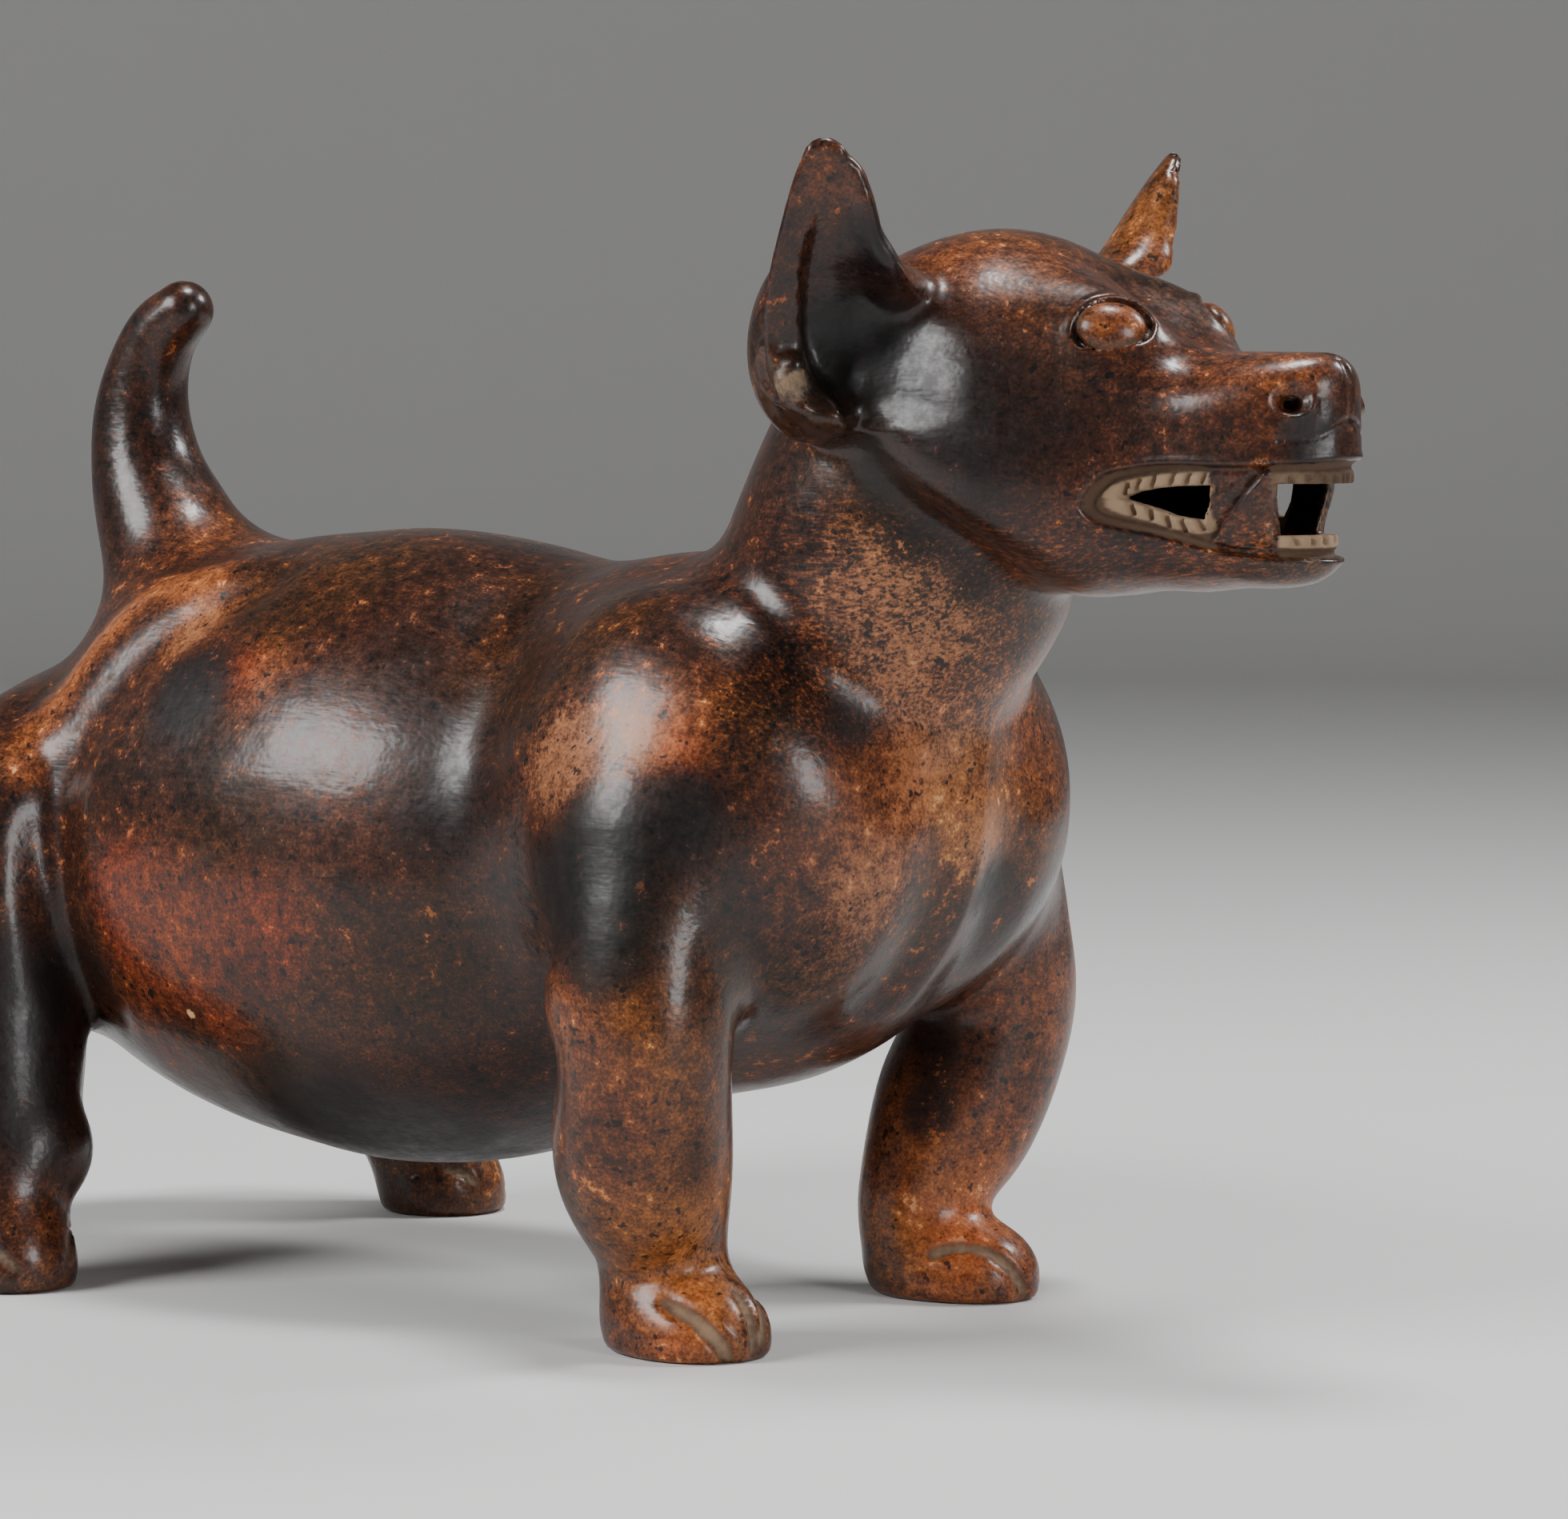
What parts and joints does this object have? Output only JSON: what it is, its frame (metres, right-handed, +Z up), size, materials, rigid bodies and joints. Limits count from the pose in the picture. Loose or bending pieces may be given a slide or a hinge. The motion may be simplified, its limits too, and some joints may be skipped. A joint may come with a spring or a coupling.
{
  "type": "standing dog figure",
  "caption": "Hollow burnished clay dog that stands on four short legs, with raised ears, an upright tail and bared teeth.",
  "frame": {"origin": "on the floor under the middle of the figure's box", "axes": "+X the way the dog looks, +Y the dog's left side, +Z up"},
  "size_m": [0.419, 0.196, 0.2831],
  "materials": {
    "burnished_clay": "burnished red-brown slip with dark mottling and fire clouds, semi-gloss"
  },
  "bodies": {
    "root": {"dog_figure": "burnished_clay"}
  },
  "joints": []
}
